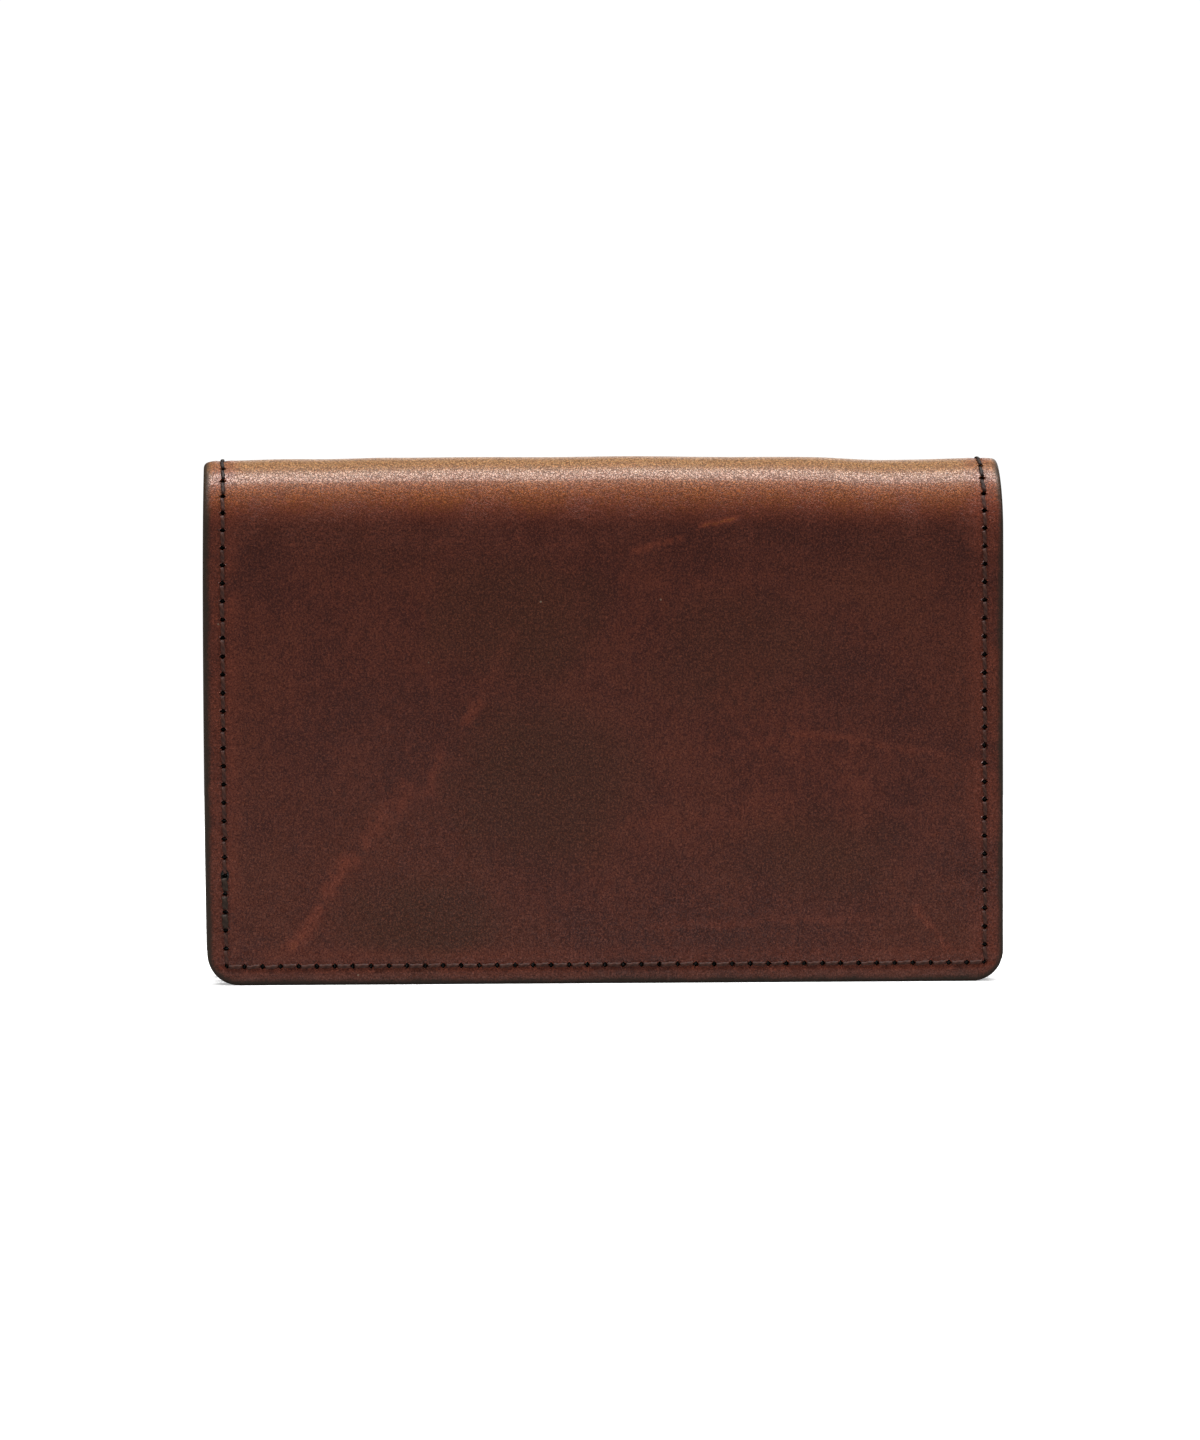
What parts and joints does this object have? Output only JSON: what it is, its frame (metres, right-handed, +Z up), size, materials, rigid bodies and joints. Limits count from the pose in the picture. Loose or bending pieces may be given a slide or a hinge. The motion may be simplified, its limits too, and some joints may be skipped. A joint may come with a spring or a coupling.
{
  "type": "business card case",
  "caption": "Bifold leather card case with a rounded fold at the top, a pleated gusset compartment with a thumb scoop in the back half and stepped slip pockets in the front half.",
  "frame": {"origin": "on the ground under the middle of the case, standing closed on its open edges", "axes": "+X along the fold, +Y towards the back cover, +Z up to the fold"},
  "size_m": [0.114, 0.016, 0.075],
  "materials": {
    "cover_leather": "waxed pull-up leather, semi-gloss",
    "lining_leather": "thin vegetable-tanned leather, satin",
    "pocket_leather": "vegetable-tanned leather with a burnished edge, satin",
    "interlining_board": "bonded leather board, matt",
    "thread": "waxed twisted thread"
  },
  "bodies": {
    "back_half": {"back_cover": "cover_leather", "back_interlining": "interlining_board", "back_lining": "lining_leather", "back_seam_thread": "thread", "gusset": "lining_leather"},
    "spine_rear": {"spine_leather_rear": "cover_leather", "spine_interlining_rear": "interlining_board", "spine_lining_rear": "lining_leather", "spine_thread_rear_left": "thread", "spine_thread_rear_right": "thread"},
    "spine_top": {"spine_leather_top": "cover_leather", "spine_interlining_top": "interlining_board", "spine_lining_top": "lining_leather", "spine_thread_top_left": "thread", "spine_thread_top_right": "thread"},
    "spine_fore": {"spine_leather_fore": "cover_leather", "spine_interlining_fore": "interlining_board", "spine_lining_fore": "lining_leather", "spine_thread_fore_left": "thread", "spine_thread_fore_right": "thread"},
    "front_half": {"front_cover": "cover_leather", "front_interlining": "interlining_board", "front_lining": "lining_leather", "front_seam_thread": "thread", "tall_slip_pocket": "pocket_leather", "short_slip_pocket": "pocket_leather"},
    "compartment_front": {"compartment_wall": "pocket_leather", "compartment_wall_thread": "thread"}
  },
  "joints": [
    {"name": "fold_rear", "type": "hinge", "parent": "back_half", "child": "spine_rear", "pos_m": [0, 0.00749, 0.0685], "axis": [-1, 0, 0], "range_deg": [0, 45]},
    {"name": "fold_upper_rear", "type": "hinge", "parent": "spine_rear", "child": "spine_top", "pos_m": [0, 0.00338, 0.07407], "axis": [-1, 0, 0], "range_deg": [0, 45]},
    {"name": "fold_upper_fore", "type": "hinge", "parent": "spine_top", "child": "spine_fore", "pos_m": [0, -0.00338, 0.07407], "axis": [-1, 0, 0], "range_deg": [0, 45]},
    {"name": "fold_fore", "type": "hinge", "parent": "spine_fore", "child": "front_half", "pos_m": [0, -0.00749, 0.0685], "axis": [-1, 0, 0], "range_deg": [0, 45]},
    {"name": "gusset_spread", "type": "slide", "parent": "back_half", "child": "compartment_front", "axis": [0, -1, 0], "range_m": [-0.0035, 0.0012], "deforming": ["gusset"]}
  ],
  "couplings": [
    {"joint": "fold_upper_rear", "follows": "fold_rear", "ratio": 1},
    {"joint": "fold_upper_fore", "follows": "fold_rear", "ratio": 1},
    {"joint": "fold_fore", "follows": "fold_rear", "ratio": 1}
  ]
}
